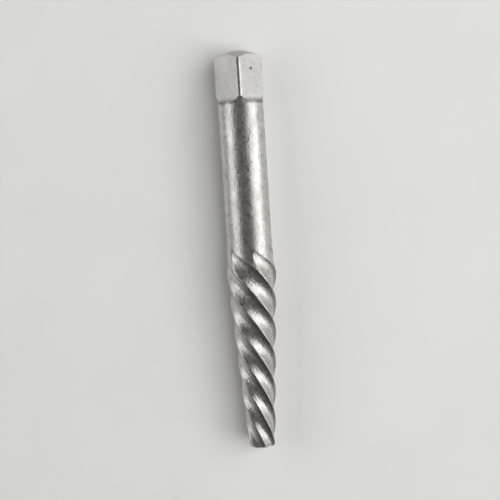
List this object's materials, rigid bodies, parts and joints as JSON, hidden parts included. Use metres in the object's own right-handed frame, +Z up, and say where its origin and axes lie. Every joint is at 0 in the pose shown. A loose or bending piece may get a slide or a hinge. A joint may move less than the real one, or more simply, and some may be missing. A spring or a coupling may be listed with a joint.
{
  "type": "screw extractor",
  "caption": "Screw extractor: a one-piece steel tool with a square drive end, a round shank and a tapered nose of left-hand spiral flutes.",
  "frame": {"origin": "on the ground under the middle of the lying tool, at the bottom centre of its bounding box", "axes": "+X along the tool from the square drive end to the tip, +Z up"},
  "size_m": [0.0762, 0.0096, 0.0093],
  "materials": {
    "tool_steel": "satin silver-grey hardened steel with a fine grit-blasted grain"
  },
  "bodies": {
    "root": {"screw_extractor": "tool_steel"}
  },
  "joints": []
}
